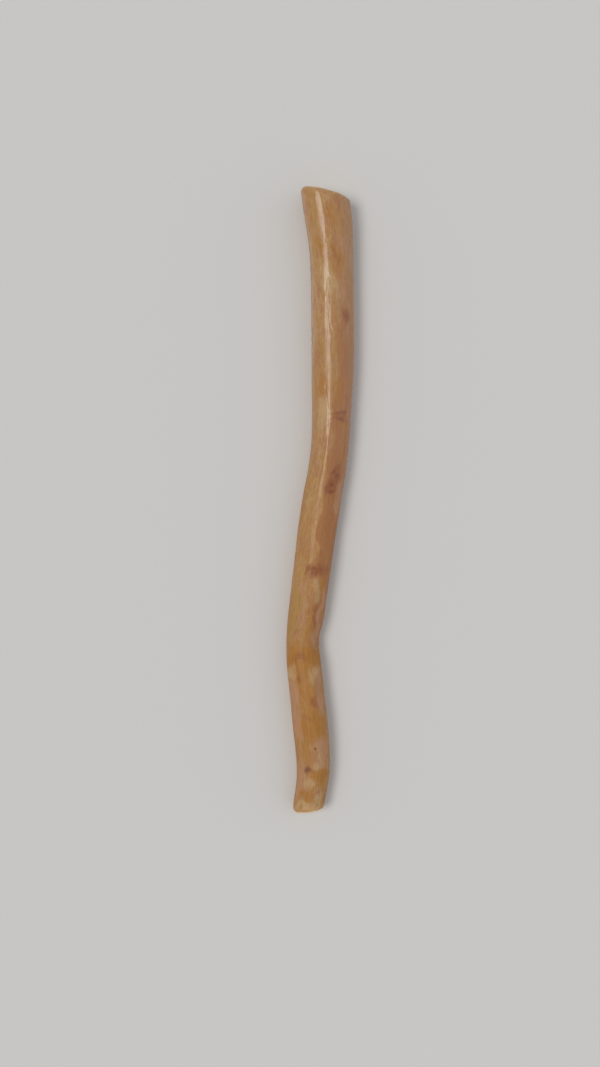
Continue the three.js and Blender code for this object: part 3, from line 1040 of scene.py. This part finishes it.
# %% What the relief is made of
# The tree's inputs, all in millimetres.
RELIEF_INPUTS = {
    "Wrinkle Depth": 0.2, "Wrinkle Across": 1.5, "Wrinkle Along": 17.0,
    "Fine Depth": 0.07, "Fine Across": 0.75, "Fine Along": 7.0,
    "Furrow Depth": 0.07, "Furrow Across": 3.1, "Furrow Along": 30.0,
    "Crease Depth": 0.07, "Crease Across": 2.4, "Crease Along": 0.85,
    "Torn Depth": 0.1, "Saw Depth": 0.05, "Chip Depth": 0.22,
}
WRINKLE_DETAIL = 2.5
FURROW_DETAIL = 3.0
FURROW_SHAPE = (0.0, 0.035, -1.0, 0.0)
CREASED_NOISE = (5.0, 16.0, 1.0)
CREASED_EDGE = (0.5, 0.62)
TORN_NOISE = (0.5, 0.5, 3.0)
SAW_STROKES = (0.16, 1.0, 1.9)
CHIP_NOISE = (0.9, 0.9, 3.0)
CHIP_EDGE = (0.48, 0.66)
CHIP_REACH = 0.9
LEVEL_BESIDE_CUT = 1.2
# Shares of the radius: where the bark's own skin starts, and the edge of it.
SKIN_STARTS = 0.96
SKIN_EDGE = (SKIN_STARTS - 0.02, SKIN_STARTS + 0.02)


def carried(tree, name, kind="FLOAT"):
    """A value that the mesh carries, read inside Geometry Nodes."""
    name = {"Name": name}
    return add_node("GeometryNodeInputNamedAttribute", name, tree=tree, data_type=kind)


def raised(soft, depth):
    """Soft noise as heights, half of them above the level and half below."""
    return times(centred(soft), depth)


def waves(place, given, name, detail=2.0):
    """Waves with the depth and the spacings that the inputs have under this name."""
    soft = noise(place, given[name + " Across"], given[name + " Along"], detail)
    return raised(soft, given[name + " Depth"])


def bark_heights(tree, place, given):
    """Wrinkles, fine wrinkles, furrows, creases in places, and the scars."""
    lines = noise(place, given["Furrow Across"], given["Furrow Along"], FURROW_DETAIL)
    furrow = ramp(maths("ABSOLUTE", centred(lines)), *FURROW_SHAPE)
    creased = ramp(noise(place, *CREASED_NOISE), *CREASED_EDGE)
    return plus(
        waves(place, given, "Wrinkle", WRINKLE_DETAIL),
        waves(place, given, "Fine"),
        times(furrow, given["Furrow Depth"]),
        times(waves(place, given, "Crease"), creased),
        carried(tree, "scar"),
    )


print("the relief has", len(RELIEF_INPUTS), "inputs")

# %% Geometry Nodes for the relief
def finished(shape, *finishes):
    """Makes real mesh of a shape, and gives each picked part of it its material."""
    shape = add_node("GeometryNodeRealizeInstances", {"Geometry": shape})
    for material, picked in finishes:
        inputs = {"Geometry": shape, "Selection": picked, "Material": material}
        shape = add_node("GeometryNodeSetMaterial", inputs)
    return shape


def relief_tree():
    """Moves every point along its normal, then gives the bark and the cuts their materials."""
    inputs = {"Geometry": "Geometry", **RELIEF_INPUTS}
    tree, given = new_tree("Geometry", "bark_relief", inputs, "Geometry", "Geometry")
    place = carried(tree, "straight", "FLOAT_VECTOR")
    share = carried(tree, "cut_share")
    to_cut = carried(tree, "to_cut")

    beside_cut = ramp(to_cut, 0.0, LEVEL_BESIDE_CUT)
    on_bark = times(bark_heights(tree, place, given), beside_cut)
    chips = ramp(noise(place, *CHIP_NOISE), *CHIP_EDGE)
    chips = times(chips, given["Chip Depth"], ramp(to_cut, CHIP_REACH, 0.0))
    on_bark = maths("SUBTRACT", on_bark, chips)
    on_bark = times(on_bark, ramp(share, *SKIN_EDGE))
    torn = raised(noise(place, *TORN_NOISE), given["Torn Depth"])
    strokes = noise(vector_maths("MULTIPLY", place, SAW_STROKES), 1.0, 1.0)
    torn = plus(torn, raised(strokes, given["Saw Depth"]))
    height = plus(on_bark, times(torn, ramp(share, SKIN_STARTS, BARK_STARTS)))

    normal = add_node("GeometryNodeInputNormal", {}, tree=tree)
    shift = {0: normal, "Scale": times(height, MM)}
    offset = add_node("ShaderNodeVectorMath", shift, operation="SCALE")
    inputs = {"Geometry": given["Geometry"], "Name": "relief", "Value": height}
    stored = add_node("GeometryNodeStoreNamedAttribute", inputs, data_type="FLOAT")
    moved = add_node("GeometryNodeSetPosition", {"Geometry": stored, "Offset": offset})
    on_cut = maths("LESS_THAN", share, SKIN_STARTS)
    end_tree(finished(moved, (bark, True), (cut_wood, on_cut)))
    return tree


def run_tree(mesh, tree, values, name):
    """Runs a Geometry Nodes tree on a mesh and gives back a plain object with the result."""
    worker = add_object(name + "_worker", mesh)
    modifier = worker.modifiers.new(name, "NODES")
    modifier.node_group = tree
    for item in tree.interface.items_tree:
        if item.in_out == "INPUT" and item.name in values:
            modifier[item.identifier] = values[item.name]
    bpy.context.view_layer.update()
    evaluated = worker.evaluated_get(bpy.context.evaluated_depsgraph_get())
    result = bpy.data.meshes.new_from_object(evaluated)
    bpy.data.objects.remove(worker)
    return add_object(name, result)


def rest_on_floor(mesh):
    """Lifts any point that lies below the surface back onto it, and smooths the shading."""
    places = np.zeros((len(mesh.vertices), 3))
    mesh.vertices.foreach_get("co", places.ravel())
    places[:, 2] = np.maximum(places[:, 2], 0)
    mesh.vertices.foreach_set("co", places.ravel())
    mesh.shade_smooth()
    mesh.update()


skin = run_tree(skin_mesh, relief_tree(), RELIEF_INPUTS, "bark_and_cut_wood")
rest_on_floor(skin.data)
print(skin.name, "has", len(skin.data.polygons), "faces and", len(skin.data.materials), "materials")

# %% [markdown]
# ## Torn fibres on the cuts
#
# A saw or a knife tears the wood's fibres, and their ends stand up a little from the cut. There are
# thousands of them, none longer than a fifth of a millimetre, and they differ only by chance. So
# Geometry Nodes scatter one small cone over both cut faces, turn and size each copy with a fixed
# seed, and make real mesh of them.

# %% Scatter the fibres
# Density counts fibres to a square metre. Length and width are in millimetres, the tilt in radians.
FIBRE_INPUTS = {"Density": 2.6e7, "Length": 0.17, "Width": 0.06, "Tilt": 0.7, "Seed": 7}
FIBRE_SHAPE = {"Vertices": 5, "Radius Bottom": 0.5, "Radius Top": 0.15, "Depth": 1.0}
SHORTEST = 0.35


def chance(low, high, seed):
    """A different number for each point, always the same for one seed."""
    inputs = {2: low, 3: high, "Seed": seed}
    return add_node("FunctionNodeRandomValue", inputs, 1, data_type="FLOAT")


def lean(reach, seed):
    """A different small turn for each point, about both of its level axes."""
    turns = {axis: times(chance(-1.0, 1.0, plus(seed, axis + 1.0)), reach) for axis in (0, 1)}
    angles = add_node("ShaderNodeCombineXYZ", turns)
    return add_node("FunctionNodeEulerToRotation", {0: angles})


def fibre_tree():
    """Scatters short cones over the cut wood, each with a lean and a length of its own."""
    inputs = {"Geometry": "Geometry", **FIBRE_INPUTS}
    tree, given = new_tree("Geometry", "torn_fibres", inputs, "Geometry", "Geometry")
    seed = given["Seed"]
    on_wood = maths("LESS_THAN", carried(tree, "cut_share"), BARK_STARTS)
    inputs = {"Mesh": given["Geometry"], "Selection": on_wood}
    inputs.update({"Density": given["Density"], "Seed": seed})
    points = add_node("GeometryNodeDistributePointsOnFaces", inputs)
    inputs = {"Rotation": points.node.outputs["Rotation"], "Rotate By": lean(given["Tilt"], seed)}
    turned = add_node("FunctionNodeRotateRotation", inputs, rotation_space="LOCAL")

    width = times(given["Width"], MM)
    length = times(given["Length"], chance(SHORTEST, 1.0, seed), MM)
    inputs = {
        "Points": points,
        "Instance": add_node("GeometryNodeMeshCone", FIBRE_SHAPE, tree=tree),
        "Rotation": turned,
        "Scale": add_node("ShaderNodeCombineXYZ", {0: width, 1: width, 2: length}),
    }
    placed = add_node("GeometryNodeInstanceOnPoints", inputs)
    end_tree(finished(placed, (fibre, True)))
    return tree


fibres = run_tree(skin.data, fibre_tree(), FIBRE_INPUTS, "torn_fibre_ends")
print(fibres.name, "has", len(fibres.data.polygons), "faces")

# %% [markdown]
# ## Floor and light
#
# The stick lies on a plain pale surface. A sun lamp with a wide angle stands for a soft studio
# light: it lights the floor evenly and draws a soft shadow. It leans to the left, so the left flank
# is the brighter one and a narrow line of light runs along the crest. A weaker and wider one fills
# in from the right, and a pale room glows evenly all round.

# %% Stage
FLOOR_SIZE = 80.0
FLOOR_COLOUR = colour(230, 229, 227)
ROOM_COLOUR = colour(240, 240, 242)
# Each sun: where its light comes from, its angle, its power and its colour.
SUNS = {
    "soft_key": ((-0.43, -0.02, 1.0), 0.42, 1.0, (1.0, 0.97, 0.93)),
    "cool_side": ((0.9, -0.1, 0.8), 1.6, 0.3, (0.82, 0.91, 1.0)),
}


def add_floor():
    """A plain pale square, far larger than the view."""
    half = FLOOR_SIZE / 2
    corners = [(-half, -half, 0), (half, -half, 0), (half, half, 0), (-half, half, 0)]
    mesh = bpy.data.meshes.new("floor")
    mesh.from_pydata(corners, [], [(0, 1, 2, 3)])
    material, _, shader = start_material("pale_floor")
    fill(shader, {"Base Color": FLOOR_COLOUR, "Roughness": 0.85})
    mesh.materials.append(material)
    return add_object("floor", mesh)


def add_sun(name, comes_from, angle, power, tint):
    """A sun lamp. A wide angle makes its light and its shadows soft."""
    lamp = bpy.data.lights.new(name, "SUN")
    lamp.angle = angle
    lamp.energy = power
    lamp.color = tint
    way = Vector(comes_from).to_track_quat("Z", "Y")
    add_object(name, lamp).rotation_euler = way.to_euler()


floor = add_floor()
for name, settings in SUNS.items():
    add_sun(name, *settings)
world = bpy.data.worlds.new("pale_room")
world.use_nodes = True
fill(world.node_tree.nodes["Background"], {"Color": ROOM_COLOUR, "Strength": 0.43})
bpy.context.scene.world = world
bpy.context.scene.view_settings.view_transform = "Standard"
print("stage ready with", len(SUNS), "suns")

# %% [markdown]
# ## Hand over
#
# Last, each piece is tied to the body that it moves with, and the fine skin takes the plain solid's
# place.

# %% Tie the pieces to the frame
for piece in (skin, fibres):
    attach(piece, BODY)
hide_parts(STICK)
